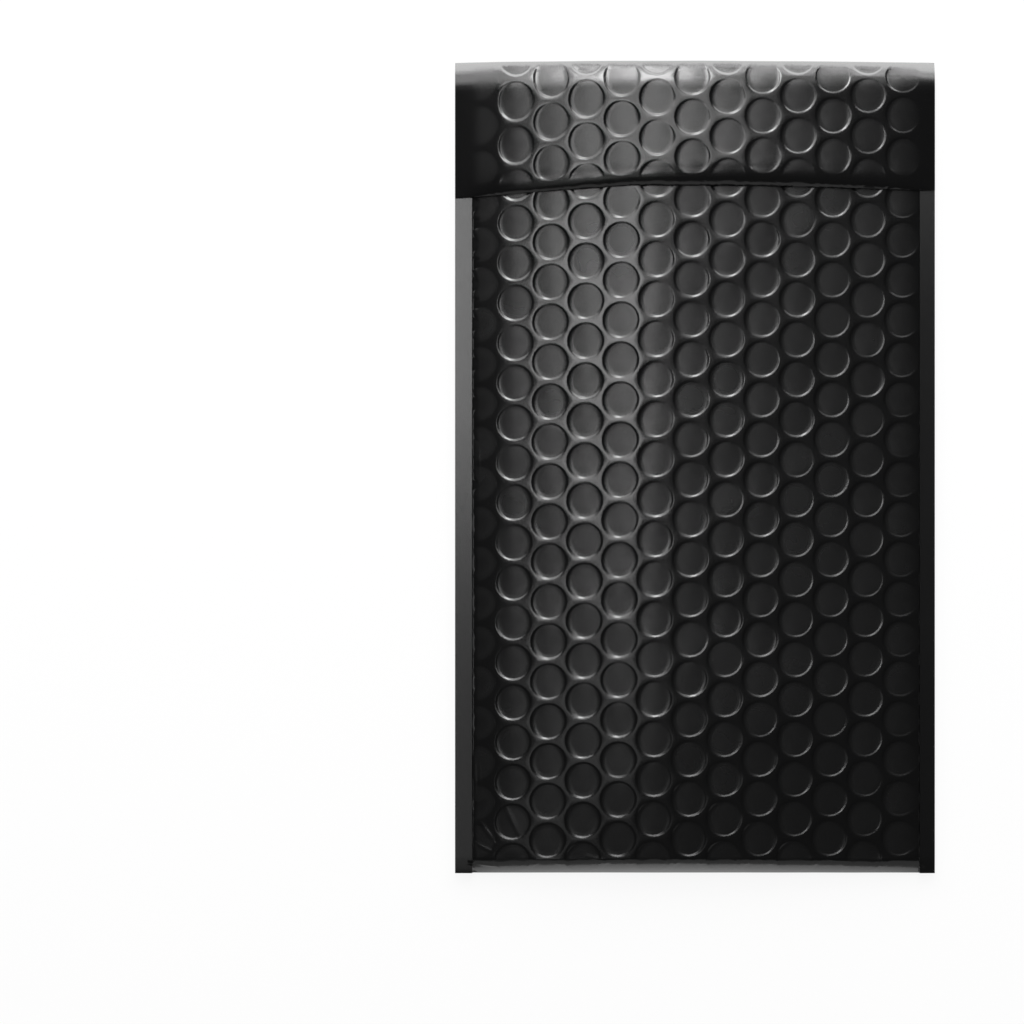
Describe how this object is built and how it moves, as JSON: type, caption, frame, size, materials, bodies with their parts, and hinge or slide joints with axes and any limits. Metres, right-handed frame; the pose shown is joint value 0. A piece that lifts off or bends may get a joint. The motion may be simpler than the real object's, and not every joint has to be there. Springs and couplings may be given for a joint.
{
  "type": "padded envelope",
  "caption": "Flat padded mailing envelope in black film with a bubble lining, heat-sealed side edges and a flap folded down over the front.",
  "frame": {"origin": "centre of the envelope's outline, on the surface that its back lies on", "axes": "+Z out of the front, which carries the flap; +Y along the length, towards the fold of the flap; +X across the width"},
  "size_m": [0.15, 0.254, 0.0108],
  "materials": {
    "black_film": "satin black co-extruded polyethylene film, with the bubbles of the lining pressed through it"
  },
  "bodies": {
    "root": {"padded_envelope": "black_film"}
  },
  "joints": []
}
